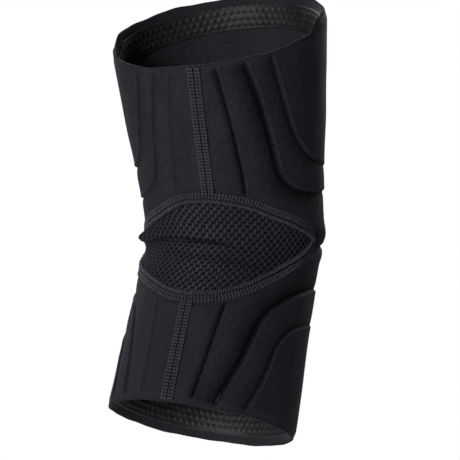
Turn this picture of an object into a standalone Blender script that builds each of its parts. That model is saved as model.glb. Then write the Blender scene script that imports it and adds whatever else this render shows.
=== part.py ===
"""Pull-on knee sleeve with a knitted panel behind the knee.

Metres, +Z up, the front of the knee towards -Y, the back towards +Y.
The sleeve is modelled half bent, as it is moulded: the thigh half and the
calf half both lean backwards from the knee, and they turn about one axis
along X that passes through the two side corners of the knitted panel.

A place on the sleeve is given by its height along the leg (zero at the
knee, thigh positive) and its angle round the leg (zero at the back seam,
positive towards the wearer's right).
"""
import math

import bpy

# ---- leg form -------------------------------------------------------------
THIGH_LEAN = math.radians(21.0)
CALF_LEAN = math.radians(25.0)
BEND_RADIUS = 0.080
RADIUS_STATIONS = ((-0.150, 0.0630), (-0.125, 0.0629), (-0.090, 0.0625), (-0.050, 0.0618),
                   (0.000, 0.0630), (0.050, 0.0660), (0.100, 0.0697), (0.160, 0.0728))
KNEECAP_FULLNESS = 0.03
KNEE_ZONE_HEIGHT = 0.050

# ---- hems -----------------------------------------------------------------
THIGH_HEM_HEIGHT = 0.140
THIGH_HEM_SLOPE = 0.008
FRONT_TAB_RISE = 0.006
CALF_HEM_HEIGHT = 0.1415

# ---- knitted panel behind the knee ------------------------------------------
PANEL_CORNER = 79.0
PANEL_TOP_HEIGHT = 0.0445
PANEL_BOTTOM_HEIGHT = 0.0715
PANEL_TOP_POINT = 1.4
PANEL_BOTTOM_POINT = 0.9

# ---- laminate, measured inwards from the outer surface ----------------------
COVER_THICKNESS = 0.0007
LAYER_GAP = 0.0006
FOAM_THICKNESS = 0.0015
LINING_THICKNESS = 0.0006
GRIP_THICKNESS = 0.0008
FOAM_DEPTH = COVER_THICKNESS + LAYER_GAP
LINING_DEPTH = FOAM_DEPTH + FOAM_THICKNESS + LAYER_GAP
GRIP_DEPTH = LINING_DEPTH + LINING_THICKNESS + LAYER_GAP
PANEL_DEPTH = 0.0004
PANEL_THICKNESS = 0.0010

# ---- seams and strips -------------------------------------------------------
SEAM_WIDTH = 0.0064
SEAM_THICKNESS = 0.0007
SEAM_RIDGE = 0.0004
SEAM_LIFT = 0.0003
EDGE_GAP = 0.0004
GRIP_WIDTH = 0.018
GRIP_INSET = 0.006
HEM_MARGIN = 0.004
BAND_INSET = 0.07
BAND_END_ANGLE = 60.0

# ---- rigid halves -----------------------------------------------------------
SIDE_ANGLE = 72.0
FRONT_ANGLE = 108.0
THIGH_SIDE_HEIGHT = 0.0240
THIGH_FRONT_HEIGHT = 0.0240
CALF_SIDE_HEIGHT = 0.0280
CALF_FRONT_HEIGHT = 0.0240

# ---- grooves between the padded bands: (height, angle) from hem to front ------
THIGH_GROOVES = (
    ((0.131, 16.0), (0.111, 20.0), (0.078, 23.5), (0.057, 26.0), (0.030, 28.0)),
    ((0.134, 30.0), (0.108, 39.0), (0.081, 45.0), (0.052, 50.0), (0.042, 60.0),
     (0.035, 73.0), (0.025, 104.0), (0.024, 178.0)),
    ((0.136, 45.0), (0.105, 52.0), (0.076, 61.0), (0.063, 70.0), (0.055, 81.0),
     (0.043, 104.0), (0.040, 178.0)),
)
CALF_GROOVES = (
    ((-0.137, 14.5), (-0.120, 16.5), (-0.097, 19.0), (-0.071, 22.0), (-0.045, 25.0)),
    ((-0.136, 28.0), (-0.123, 32.0), (-0.107, 38.0), (-0.082, 45.0), (-0.072, 50.0),
     (-0.063, 59.0), (-0.053, 71.0), (-0.034, 108.0), (-0.029, 178.0)),
    ((-0.137, 45.0), (-0.124, 50.0), (-0.112, 54.0), (-0.091, 60.0), (-0.080, 68.0),
     (-0.074, 76.0), (-0.056, 123.0), (-0.053, 178.0)),
)

# ---- joint ------------------------------------------------------------------
AXIS_OFFSET = 0.011


def smooth(x, low, high):
    """Ease from 0 to 1 as x goes from low to high."""
    t = max(0.0, min(1.0, (x - low) / (high - low)))
    return t * t * (3.0 - 2.0 * t)


def along(points, x, key=0, value=1):
    """Read a value between listed points, for points in rising or falling order."""
    rising = sorted(points, key=lambda p: p[key])
    if x <= rising[0][key]:
        return rising[0][value]
    for low, high in zip(rising, rising[1:]):
        if x <= high[key]:
            part = (x - low[key]) / (high[key] - low[key])
            return low[value] + part * (high[value] - low[value])
    return rising[-1][value]


def section_radius(s):
    """Outer radius of the sleeve at height s, averaged to round the stations off."""
    reach = 0.018
    steps = (-1.0, -0.5, 0.0, 0.5, 1.0)
    return sum(along(RADIUS_STATIONS, s + reach * k) for k in steps) / len(steps)


def on_sleeve(s, angle, depth):
    """Point at height s and angle round the leg, depth inside the outer surface."""
    lean = THIGH_LEAN if s >= 0.0 else CALF_LEAN
    turn = min(abs(s) / BEND_RADIUS, lean)
    rest = abs(s) - turn * BEND_RADIUS
    way = 1.0 if s >= 0.0 else -1.0
    y = BEND_RADIUS * (1.0 - math.cos(turn)) + rest * math.sin(turn)
    z = way * (BEND_RADIUS * math.sin(turn) + rest * math.cos(turn))
    around = math.radians(angle)
    back = math.cos(around)
    knee = math.exp(-(s / KNEE_ZONE_HEIGHT) ** 2)
    shape = 1.0 + KNEECAP_FULLNESS * knee * (max(-back, 0.0) ** 2 - max(back, 0.0) ** 2)
    radius = section_radius(s) * shape - depth
    return (-radius * math.sin(around),
            y + radius * back * math.cos(turn),
            z - way * radius * back * math.sin(turn))


def thigh_hem(angle):
    """Height of the thigh hem, higher in front, with a small raised front tab."""
    turn = abs((angle + 180.0) % 360.0 - 180.0)
    slope = THIGH_HEM_SLOPE * math.cos(math.radians(turn))
    return THIGH_HEM_HEIGHT - slope + FRONT_TAB_RISE * smooth(turn, 70.0, 80.0)


def calf_hem(angle):
    """Height of the calf hem, the same all the way round."""
    return -CALF_HEM_HEIGHT


def panel_edge(angle, upper):
    """Height of the knitted panel's edge at an angle from the back seam."""
    turn = abs((angle + 180.0) % 360.0 - 180.0)
    fall = max(0.0, math.cos(math.radians(min(turn * 90.0 / PANEL_CORNER, 90.0))))
    if upper:
        return PANEL_TOP_HEIGHT * fall ** PANEL_TOP_POINT
    return -PANEL_BOTTOM_HEIGHT * fall ** PANEL_BOTTOM_POINT


def body_edge(angle, upper):
    """Knee-side edge of the thigh half (upper) or the calf half."""
    turn = abs((angle + 180.0) % 360.0 - 180.0)
    if turn <= SIDE_ANGLE:
        return panel_edge(turn, upper)
    way = 1.0 if upper else -1.0
    side = THIGH_SIDE_HEIGHT if upper else CALF_SIDE_HEIGHT
    front = THIGH_FRONT_HEIGHT if upper else CALF_FRONT_HEIGHT
    start = abs(panel_edge(SIDE_ANGLE, upper))
    rise = (side - start) * smooth(turn, SIDE_ANGLE, FRONT_ANGLE)
    drop = (front - side) * smooth(turn, FRONT_ANGLE, 180.0)
    return way * (start + rise + drop)


def start_clean():
    """Remove everything that is in the file."""
    for item in list(bpy.data.objects):
        bpy.data.objects.remove(item, do_unlink=True)
    for group in list(bpy.data.collections):
        bpy.data.collections.remove(group)


def finish(name, colour, roughness):
    """Plain material for one kind of piece."""
    material = bpy.data.materials.get(name) or bpy.data.materials.new(name)
    material.use_nodes = True
    shader = material.node_tree.nodes["Principled BSDF"]
    shader.inputs["Base Color"].default_value = (*colour, 1.0)
    shader.inputs["Roughness"].default_value = roughness
    material.diffuse_color = (*colour, 1.0)
    return material


def sheet(name, material, place, rows, columns, thickness, wrap=False):
    """Thick sheet from place(across, up), both 0 to 1, thickened inwards."""
    last = columns if wrap else columns + 1
    points = [place(c / columns, r / rows) for r in range(rows + 1) for c in range(last)]
    faces = []
    for r in range(rows):
        for c in range(columns):
            low = r * last + c
            side = r * last + (c + 1) % last
            faces.append((low, side, side + last, low + last))
    mesh = bpy.data.meshes.new(name)
    mesh.from_pydata(points, [], faces)
    mesh.materials.append(material)
    piece = bpy.data.objects.new(name, mesh)
    group = bpy.data.collections.new(name)
    bpy.context.scene.collection.children.link(group)
    group.objects.link(piece)
    solid = piece.modifiers.new("thickness", "SOLIDIFY")
    solid.thickness = thickness
    solid.offset = -1.0
    piece.data.update()
    return piece


def layer(name, material, low, high, start, stop, depth, thickness, rows, columns):
    """Layer between two height functions and two angles, with extra columns unneeded."""
    def place(across, up):
        angle = start + (stop - start) * across
        bottom = low(angle)
        return on_sleeve(bottom + (high(angle) - bottom) * up, angle, depth)
    return sheet(name, material, place, rows, columns, thickness)


def body_layer(half, kind, material, depth, thickness, hem_inset, edge_inset):
    """Cover or lining of one half, open down the back seam."""
    upper = half == "thigh"
    way = 1.0 if upper else -1.0
    hem = thigh_hem if upper else calf_hem

    def near(angle):
        return body_edge(angle, upper) + way * edge_inset

    def far(angle):
        return hem(angle) - way * hem_inset
    low, high = (near, far) if upper else (far, near)
    return layer(f"{half}_{kind}", material, low, high, 0.3, 359.7, depth, thickness, 10, 48)


def groove_point(groove, part):
    """Point a part of the way along a groove, measured by length."""
    lengths = [0.0]
    for first, second in zip(groove, groove[1:]):
        round_leg = math.radians(second[1] - first[1]) * BEND_RADIUS * 0.75
        lengths.append(lengths[-1] + math.hypot(second[0] - first[0], round_leg))
    place = part * lengths[-1]
    heights = [(length, point[0]) for length, point in zip(lengths, groove)]
    angles = [(length, point[1]) for length, point in zip(lengths, groove)]
    return along(heights, place), along(angles, place)


def groove_height(groove, angle):
    """Height of a groove at an angle."""
    return along(groove, angle, key=1, value=0)


def filled(left, right, bottom, top):
    """Smooth filling between four edges, each giving (height, angle) from 0 to 1."""
    def at(u, t):
        result = []
        for k in (0, 1):
            sides = (1.0 - u) * left(t)[k] + u * right(t)[k]
            ends = (1.0 - t) * bottom(u)[k] + t * top(u)[k]
            corners = ((1.0 - u) * (1.0 - t) * left(0.0)[k] + u * (1.0 - t) * right(0.0)[k]
                       + (1.0 - u) * t * left(1.0)[k] + u * t * right(1.0)[k])
            result.append(sides + ends - corners)
        return result
    return at


def cut_groove(groove, height, angle, end):
    """Points of a groove from the hem to where it passes height or angle, then an end point."""
    kept = [p for p in groove if abs(p[0]) > abs(height) + 0.002 and p[1] < angle - 1.0]
    return kept + list(end)


def back_band(half, side, number, material):
    """Foam band that runs from the hem down to the knitted panel."""
    upper = half == "thigh"
    way = 1.0 if upper else -1.0
    grooves = THIGH_GROOVES if upper else CALF_GROOVES
    hem = thigh_hem if upper else calf_hem
    sign = 1.0 if side == "right" else -1.0

    def near(turn):
        return body_edge(turn, upper) + way * 0.0045
    first_turn = grooves[0][-1][1] - 0.5
    first_end = (near(first_turn), first_turn)
    first = cut_groove(grooves[0], first_end[0], 90.0, [first_end])
    if number == 1:
        outer = first
        inner = [(hem(0.0) - way * HEM_MARGIN, 3.2), (near(3.2), 3.2)]
    else:
        inner = first
        turn_height = groove_height(grooves[1], BAND_END_ANGLE)
        corner = [(turn_height, BAND_END_ANGLE), (near(BAND_END_ANGLE), BAND_END_ANGLE)]
        outer = cut_groove(grooves[1], turn_height, BAND_END_ANGLE, corner)
    inner[0] = (hem(inner[0][1]) - way * HEM_MARGIN, inner[0][1])
    outer[0] = (hem(outer[0][1]) - way * HEM_MARGIN, outer[0][1])

    def low_edge(u):
        turn = inner[-1][1] + u * (outer[-1][1] - inner[-1][1])
        return near(turn), turn

    def hem_edge(u):
        turn = inner[0][1] + u * (outer[0][1] - inner[0][1])
        return hem(turn) - way * HEM_MARGIN, turn
    fill = filled(lambda t: groove_point(inner, 1.0 - t), lambda t: groove_point(outer, 1.0 - t),
                  low_edge, hem_edge)

    def place(across, up):
        share = BAND_INSET + (1.0 - 2.0 * BAND_INSET) * (across if sign > 0 else 1.0 - across)
        s, turn = fill(share, up if upper else 1.0 - up)
        return on_sleeve(s, sign * turn, FOAM_DEPTH)
    return sheet(f"{half}_foam_band_{side}_{number}", material, place, 14, 2 + 3 * number,
                 FOAM_THICKNESS)


def side_band(half, side, material):
    """Foam band between the second and third grooves, turning to the front."""
    upper = half == "thigh"
    way = 1.0 if upper else -1.0
    hem = thigh_hem if upper else calf_hem
    lines = []
    for groove in (THIGH_GROOVES if upper else CALF_GROOVES)[1:]:
        start = (hem(groove[0][1]) - way * HEM_MARGIN, groove[0][1])
        lines.append((start,) + groove[1:])
    sign = 1.0 if side == "right" else -1.0
    flip = upper == (sign > 0)

    def place(across, up):
        first = groove_point(lines[0], up)
        second = groove_point(lines[1], up)
        share = BAND_INSET + (1.0 - 2.0 * BAND_INSET) * (1.0 - across if flip else across)
        s = first[0] + (second[0] - first[0]) * share
        turn = first[1] + (second[1] - first[1]) * share
        return on_sleeve(s, sign * turn, FOAM_DEPTH)
    return sheet(f"{half}_foam_band_{side}_3", material, place, 32, 3, FOAM_THICKNESS)


def front_pad(half, material):
    """Foam pad across the front between the third grooves and the hem."""
    upper = half == "thigh"
    way = 1.0 if upper else -1.0
    groove = (THIGH_GROOVES if upper else CALF_GROOVES)[2]
    hem = thigh_hem if upper else calf_hem

    def near(angle):
        turn = abs((angle + 180.0) % 360.0 - 180.0)
        return groove_height(groove, turn) + way * 0.0015

    def far(angle):
        return hem(angle) - way * HEM_MARGIN
    low, high = (near, far) if upper else (far, near)
    return layer(f"{half}_front_foam_pad", material, low, high, 50.0 if upper else 56.0,
                 310.0 if upper else 304.0, FOAM_DEPTH, FOAM_THICKNESS, 6, 26)


def corner_angle(share, inset):
    """Angle where the knee front starts, following the knitted panel's corner."""
    low, high = SIDE_ANGLE + 1.0, PANEL_CORNER + 2.0
    for _ in range(30):
        middle = 0.5 * (low + high)
        bottom = body_edge(middle, False) + inset
        top = body_edge(middle, True) - inset
        s = bottom + (top - bottom) * share
        clear = inset + 0.0010
        if panel_edge(middle, False) - clear < s < panel_edge(middle, True) + clear:
            low = middle
        else:
            high = middle
    return high + 0.8


def knee_front(kind, material, depth, thickness, inset):
    """Layer over the front of the knee, from panel corner to panel corner."""
    def place(across, up):
        start = corner_angle(up, inset)
        angle = start + (360.0 - 2.0 * start) * across
        bottom = body_edge(angle, False) + inset
        top = body_edge(angle, True) - inset
        return on_sleeve(bottom + (top - bottom) * up, angle, depth)
    return sheet(f"knee_front_{kind}", material, place, 8, 32, thickness)


def seam_strip(name, material, points, offsets):
    """Flat seam with two raised needle lines along a list of (height, angle)."""
    def place(across, up):
        index = min(int(across * (len(points) - 1) + 0.5), len(points) - 1)
        before = points[max(index - 1, 0)]
        after = points[min(index + 1, len(points) - 1)]
        s, angle = points[index]
        radius = section_radius(s)
        run_s = after[0] - before[0]
        run_a = math.radians(after[1] - before[1]) * radius
        length = math.hypot(run_s, run_a)
        sideways, ridge = offsets[min(int(up * (len(offsets) - 1) + 0.5), len(offsets) - 1)]
        s_there = s + sideways * run_a / length
        angle_there = angle - math.degrees(sideways * run_s / length / radius)
        return on_sleeve(s_there, angle_there, -(SEAM_LIFT + SEAM_THICKNESS + ridge))
    return sheet(name, material, place, len(offsets) - 1, len(points) - 1, SEAM_THICKNESS)


def seam_profile():
    """Sideways places across a seam and how far each stands up."""
    half = SEAM_WIDTH / 2.0
    return [(share * half, ridge * SEAM_RIDGE)
            for share, ridge in ((-1.0, 0.0), (-0.6, 1.0), (-0.2, 0.0), (0.2, 0.0), (0.6, 1.0), (1.0, 0.0))]


def back_seam(half, material):
    """Flat seam down the centre of the back, from the hem to the panel seam."""
    upper = half == "thigh"
    clear = SEAM_WIDTH / 2.0 + 0.0009
    if upper:
        first, last = thigh_hem(0.0) - 0.0005, panel_edge(0.0, True) + clear
    else:
        first, last = panel_edge(0.0, False) - clear, calf_hem(0.0) + 0.0005
    count = 12
    points = [(first + (last - first) * k / count, 0.0) for k in range(count + 1)]
    return seam_strip(f"{half}_back_seam_thread", material, points, seam_profile())


def panel_seam(half, material):
    """Flat seam that joins the knitted panel to one half."""
    upper = half == "thigh"
    count = 30
    limit = 66.0
    points = []
    for k in range(count + 1):
        angle = -limit + 2.0 * limit * k / count
        points.append((panel_edge(angle, upper), angle))
    return seam_strip(f"{half}_panel_seam_thread", material, points, seam_profile())


def knit_panel(material):
    """Knitted panel behind the knee, with pointed side corners."""
    limit = PANEL_CORNER - 1.2

    def low(angle):
        return panel_edge(angle, False) + EDGE_GAP

    def high(angle):
        return panel_edge(angle, True) - EDGE_GAP
    return layer("popliteal_knit_panel", material, low, high, -limit, limit, PANEL_DEPTH,
                 PANEL_THICKNESS, 8, 28)


def panel_lining(material):
    """Soft lining behind the knitted panel."""
    limit = PANEL_CORNER - 4.0

    def low(angle):
        return panel_edge(angle, False) + 2.0 * EDGE_GAP

    def high(angle):
        return panel_edge(angle, True) - 2.0 * EDGE_GAP
    return layer("popliteal_panel_lining", material, low, high, -limit, limit,
                 PANEL_DEPTH + PANEL_THICKNESS + 0.0005, LINING_THICKNESS, 8, 28)


def grip_strip(half, material):
    """Silicone grip ring inside one hem."""
    upper = half == "thigh"
    way = 1.0 if upper else -1.0
    hem = thigh_hem if upper else calf_hem

    def place(across, up):
        angle = 360.0 * across
        edge = hem(angle) - way * GRIP_INSET
        inner = edge - way * GRIP_WIDTH
        low, high = (inner, edge) if upper else (edge, inner)
        return on_sleeve(low + (high - low) * up, angle, GRIP_DEPTH)
    return sheet(f"{half}_grip_strip", material, place, 1, 40, GRIP_THICKNESS, wrap=True)


def joint_empty():
    """Empty on the knee axis that the calf half hangs from."""
    marker = bpy.data.objects.new("knee_axis", None)
    marker.location = (0.0, AXIS_OFFSET, 0.0)
    bpy.context.scene.collection.objects.link(marker)
    bpy.context.view_layer.update()
    return marker


def build():
    start_clean()
    jersey = finish("black jersey", (0.012, 0.012, 0.016), 0.85)
    foam = finish("dark foam", (0.03, 0.03, 0.033), 0.95)
    lining = finish("soft lining", (0.02, 0.02, 0.024), 0.9)
    knit = finish("open knit", (0.018, 0.018, 0.023), 0.8)
    thread = finish("seam thread", (0.05, 0.05, 0.06), 0.6)
    silicone = finish("grey silicone", (0.06, 0.06, 0.065), 0.5)
    halves = {"thigh": [], "calf": []}
    for half, pieces in halves.items():
        pieces.append(body_layer(half, "outer_cover", jersey, 0.0, COVER_THICKNESS, 0.0, EDGE_GAP))
        pieces.append(body_layer(half, "lining", lining, LINING_DEPTH, LINING_THICKNESS, 0.0, 0.0012))
        for side in ("left", "right"):
            pieces.append(back_band(half, side, 1, foam))
            pieces.append(back_band(half, side, 2, foam))
            pieces.append(side_band(half, side, foam))
        pieces.append(front_pad(half, foam))
        pieces.append(back_seam(half, thread))
        pieces.append(panel_seam(half, thread))
        pieces.append(grip_strip(half, silicone))
    knee_front("outer_cover", jersey, 0.0, COVER_THICKNESS, EDGE_GAP)
    knee_front("foam_pad", foam, FOAM_DEPTH, FOAM_THICKNESS, 0.0018)
    knee_front("lining", lining, LINING_DEPTH, LINING_THICKNESS, 0.0012)
    knit_panel(knit)
    panel_lining(lining)
    axis = joint_empty()
    for piece in halves["calf"]:
        piece.parent = axis
        piece.matrix_parent_inverse = axis.matrix_world.inverted()


build()
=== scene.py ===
"""Looks for a pull-on knee sleeve with pressed padded bands and a knitted panel behind the knee.

The sleeve is half bent. A place on it is given by its height along the leg (zero at the knee,
thigh positive) and its angle round the leg (zero at the back seam, positive to the wearer's right).
"""
from __future__ import annotations

import logging
import math
from dataclasses import dataclass, field
from enum import Enum
from functools import lru_cache
from typing import Sequence

import bmesh
import bpy
import numpy as np
from mathutils import Matrix, Vector

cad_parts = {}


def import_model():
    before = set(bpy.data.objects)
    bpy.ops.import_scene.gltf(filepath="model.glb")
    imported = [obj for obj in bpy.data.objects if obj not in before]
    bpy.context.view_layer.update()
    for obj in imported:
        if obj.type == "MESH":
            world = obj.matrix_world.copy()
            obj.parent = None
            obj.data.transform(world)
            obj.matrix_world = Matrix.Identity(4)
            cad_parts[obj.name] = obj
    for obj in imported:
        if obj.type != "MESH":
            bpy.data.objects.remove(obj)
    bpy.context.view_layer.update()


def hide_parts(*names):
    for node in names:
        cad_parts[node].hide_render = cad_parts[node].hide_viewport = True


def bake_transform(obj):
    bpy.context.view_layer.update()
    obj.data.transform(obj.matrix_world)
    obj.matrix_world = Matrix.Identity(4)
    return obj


LOG = logging.getLogger("knee_sleeve")
CLOTH_RADIUS = 0.066
METRES_PER_DEGREE = 0.00115

Array = np.ndarray
Colour = tuple[float, float, float]


class Half(Enum):
    """The two halves of the sleeve."""

    THIGH = 1
    CALF = -1

    @property
    def word(self) -> str:
        """The half's word in names of pieces and nodes."""
        return self.name.lower()


class Side(Enum):
    """The wearer's two sides, by the sign of the angle round the leg."""

    RIGHT = 1
    LEFT = -1


def ease(x: Array, low: float, high: float) -> Array:
    """Ease from 0 to 1 as x goes from low to high.

    Args:
        x: Values to ease.
        low: Value where the result is 0.
        high: Value where the result is 1.

    Returns:
        The eased values.
    """
    t = np.clip((np.asarray(x, float) - low) / (high - low), 0.0, 1.0)
    return t * t * (3.0 - 2.0 * t)


def bump(x: Array, centre: float, width: float) -> Array:
    """A smooth hump of height 1 around a centre."""
    return np.exp(-((np.asarray(x, float) - centre) / width) ** 2)


def signed_angle(angle: Array) -> Array:
    """Angle from the back seam, -180 to 180, positive to the wearer's right."""
    return (np.asarray(angle, float) + 180.0) % 360.0 - 180.0


def fold_angle(angle: Array) -> Array:
    """Angle from the back seam, 0 to 180, for either side."""
    return np.abs(signed_angle(angle))


def round_cloth(angle: Array, s: Array) -> Array:
    """Cloth places, in metres round and along the sleeve."""
    return np.stack([np.radians(angle) * CLOTH_RADIUS, s], axis=-1)


@dataclass(frozen=True)
class LegForm:
    """The moulded shape of the sleeve, without its pressed pattern.

    Stations are (height, outer radius). Corners and edges of the knitted panel are
    (height, angle).
    """

    thigh_lean: float = math.radians(21.0)
    calf_lean: float = math.radians(25.0)
    bend_radius: float = 0.080
    stations: tuple[tuple[float, float], ...] = (
        (-0.150, 0.0630), (-0.125, 0.0629), (-0.090, 0.0625), (-0.050, 0.0618),
        (0.000, 0.0630), (0.050, 0.0660), (0.100, 0.0697), (0.160, 0.0728))
    kneecap_fullness: float = 0.03
    knee_zone: float = 0.050
    thigh_hem_height: float = 0.140
    thigh_hem_slope: float = 0.008
    front_tab_rise: float = 0.006
    front_tab_angles: tuple[float, float] = (73.0, 87.0)
    calf_hem_height: float = 0.1415
    hem_tilt: float = 0.0026
    left_corner: tuple[float, float] = (-0.018, -88.0)
    right_corner: tuple[float, float] = (-0.005, 82.0)
    upper_edge: tuple[tuple[float, float], ...] = (
        (-0.008, -66.0), (0.006, -47.0), (0.031, -29.0), (0.0395, -17.0), (0.044, -8.0),
        (0.0453, 3.0), (0.0443, 13.0), (0.0413, 23.0), (0.0375, 31.5), (0.031, 40.5),
        (0.018, 51.0), (0.007, 63.0), (0.000, 75.0))
    lower_edge: tuple[tuple[float, float], ...] = (
        (-0.033, -74.0), (-0.0445, -59.5), (-0.0555, -41.0), (-0.064, -26.5), (-0.070, -15.0),
        (-0.0725, -4.0), (-0.072, 6.0), (-0.070, 14.5), (-0.067, 21.5), (-0.061, 32.0),
        (-0.0535, 40.5), (-0.045, 50.0), (-0.034, 60.5), (-0.0205, 70.5))
    edge_softness: float = 4.0
    edge_steps: int = 341
    edge_reach: int = 20
    edge_search: tuple[float, float, int] = (-0.085, 0.060, 600)
    rim_depth: float = 0.0026
    inner_depth: float = 0.0040
    rim_reach: tuple[float, float] = (0.002, 0.018)
    averaging: tuple[float, ...] = (-0.018, -0.009, 0.0, 0.009, 0.018)

    def radius(self, s: Array) -> Array:
        """Outer radius, averaged along the leg so that the stations don't show.

        Args:
            s: Heights along the leg.

        Returns:
            Radii in metres.
        """
        heights = [height for height, _ in self.stations]
        sizes = [size for _, size in self.stations]
        near = [np.interp(np.asarray(s) + step, heights, sizes) for step in self.averaging]
        return sum(near) / len(near)

    def point(self, s: Array, angle: Array, out: Array | float = 0.0) -> Array:
        """Places on the sleeve.

        Args:
            s: Heights along the leg, in metres.
            angle: Angles round the leg, in degrees.
            out: How far outside the smooth outer surface.

        Returns:
            An array of points, one row each.
        """
        s, angle = np.broadcast_arrays(np.asarray(s, float), np.asarray(angle, float))
        way = np.where(s >= 0.0, 1.0, -1.0)
        lean = np.where(s >= 0.0, self.thigh_lean, self.calf_lean)
        turn = np.minimum(np.abs(s) / self.bend_radius, lean)
        rest = np.abs(s) - turn * self.bend_radius
        y = self.bend_radius * (1.0 - np.cos(turn)) + rest * np.sin(turn)
        z = way * (self.bend_radius * np.sin(turn) + rest * np.cos(turn))
        around = np.radians(angle)
        back = np.cos(around)
        knee = np.exp(-(s / self.knee_zone) ** 2)
        full = self.kneecap_fullness * knee
        shape = 1.0 + full * (np.maximum(-back, 0.0) ** 2 - np.maximum(back, 0.0) ** 2)
        size = self.radius(s) * shape + out
        return np.stack([-size * np.sin(around), y + size * back * np.cos(turn),
                         z - way * size * back * np.sin(turn)], axis=-1)

    def thigh_hem(self, angle: Array) -> Array:
        """Height of the thigh hem, with its small raised front tab.

        Args:
            angle: Angles round the leg in degrees.

        Returns:
            Heights along the leg.
        """
        around = np.radians(angle)
        slope = self.thigh_hem_slope * np.cos(around) - self.hem_tilt * np.sin(around)
        tab = self.front_tab_rise * ease(fold_angle(angle), *self.front_tab_angles)
        return self.thigh_hem_height - slope + tab

    def calf_hem(self, angle: Array) -> Array:
        """Height of the calf hem."""
        return -self.calf_hem_height + 0.0 * np.asarray(angle, float)

    def panel_edge(self, angle: Array, half: Half) -> Array:
        """Height of the knitted panel's edge, or of the line between its corners at the front.

        Args:
            angle: Angles round the leg in degrees.
            half: The half that the edge is on.

        Returns:
            Heights along the leg.
        """
        signed = signed_angle(angle)
        table = self.eased_edge(half)
        eased = np.interp(signed, table[:, 0], table[:, 1])
        front = np.interp(signed % 360.0, (self.right_corner[1], self.left_corner[1] + 360.0),
                          (self.right_corner[0], self.left_corner[0]))
        return np.where(self.in_panel(angle), eased, front)

    def in_panel(self, angle: Array, margin: float = 0.0) -> Array:
        """Whether an angle lies between the panel's corners."""
        signed = signed_angle(angle)
        return (signed > self.left_corner[1] - margin) & (signed < self.right_corner[1] + margin)

    @lru_cache(maxsize=4)
    def eased_edge(self, half: Half) -> Array:
        """The panel's edge on one half, eased so that it crosses the bend smoothly.

        Args:
            half: The half that the edge is on.

        Returns:
            Rows of (angle, height along the leg).
        """
        drawn = self.upper_edge if half is Half.THIGH else self.lower_edge
        drawn = (self.left_corner, *drawn, self.right_corner)
        angle = np.linspace(self.left_corner[1], self.right_corner[1], self.edge_steps)
        height = np.interp(angle, [p[1] for p in drawn], [p[0] for p in drawn])
        level = self.point(height, angle)[:, 2]
        reach = self.edge_reach
        offsets = np.arange(-reach, reach + 1) * (angle[1] - angle[0])
        weight = np.exp(-(offsets / self.edge_softness) ** 2)
        padded = np.concatenate([2 * level[0] - level[reach:0:-1], level,
                                 2 * level[-1] - level[-2:-2 - reach:-1]])
        soft = np.convolve(padded, weight / weight.sum(), mode="valid")
        steps = np.linspace(*self.edge_search)
        found = [float(np.interp(target, self.point(steps, turn)[:, 2], steps))
                 for turn, target in zip(angle, soft)]
        found[0], found[-1] = self.left_corner[0], self.right_corner[0]
        return np.stack([angle, np.array(found)], axis=-1)

    def inside(self, gap: Array) -> Array:
        """Depth of the lining's face at a distance from the nearer hem."""
        return self.rim_depth + (self.inner_depth - self.rim_depth) * ease(gap, *self.rim_reach)

    def across(self, s: Array, angle: Array) -> Array:
        """Distance round the leg from the back seam, in metres."""
        return np.radians(angle) * self.radius(s)


@dataclass(frozen=True)
class Groove:
    """One pressed groove. Its points are (height, angle), from the hem to the front."""

    points: tuple[tuple[float, float], ...]
    depth: float = 0.0024
    soft_side: float = 0.0080
    sharp_side: float = 0.0010
    lip: float = 0.0003
    lip_offset: float = 0.0018
    lip_width: float = 0.0010
    broad_share: float = 0.6
    core_width: float = 0.25

    def smooth_line(self, count: int = 90) -> Array:
        """The groove as a smooth curve through its points.

        Args:
            count: Rows in the curve.

        Returns:
            Rows of (height, angle).
        """
        pts = np.array(self.points, float)
        ends = np.vstack([2 * pts[0] - pts[1], pts, 2 * pts[-1] - pts[-2]])
        scaled = ends * np.array([1.0, METRES_PER_DEGREE])
        steps = np.sqrt(np.linalg.norm(np.diff(scaled, axis=0), axis=1))
        knots = np.concatenate([[0.0], np.cumsum(steps)])
        where = np.linspace(knots[1], knots[-2], count)
        rows = []
        for t in where:
            i = int(np.clip(np.searchsorted(knots, t, side="right") - 1, 1, len(ends) - 3))
            p0, p1, p2, p3 = ends[i - 1:i + 3]
            t0, t1, t2, t3 = knots[i - 1:i + 3]
            a1 = (t1 - t) / (t1 - t0) * p0 + (t - t0) / (t1 - t0) * p1
            a2 = (t2 - t) / (t2 - t1) * p1 + (t - t1) / (t2 - t1) * p2
            a3 = (t3 - t) / (t3 - t2) * p2 + (t - t2) / (t3 - t2) * p3
            b1 = (t2 - t) / (t2 - t0) * a1 + (t - t0) / (t2 - t0) * a2
            b2 = (t3 - t) / (t3 - t1) * a2 + (t - t1) / (t3 - t1) * a3
            rows.append((t2 - t) / (t2 - t1) * b1 + (t - t1) / (t2 - t1) * b2)
        return np.array(rows)

    def profile(self, signed: Array) -> Array:
        """Height across the groove: a soft roll on one side, a sharp lip on the other.

        Args:
            signed: Distances from the groove's line, negative on the soft side.

        Returns:
            Heights, negative inside the groove.
        """
        broad = bump(signed, 0.0, self.soft_side)
        core = bump(signed, 0.0, self.core_width * self.soft_side)
        roll = self.broad_share * broad + (1.0 - self.broad_share) * core
        wall = bump(signed, 0.0, self.sharp_side)
        dip = -self.depth * np.where(signed < 0.0, roll, wall)
        return dip + self.lip * bump(signed, self.lip_offset, self.lip_width)


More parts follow.
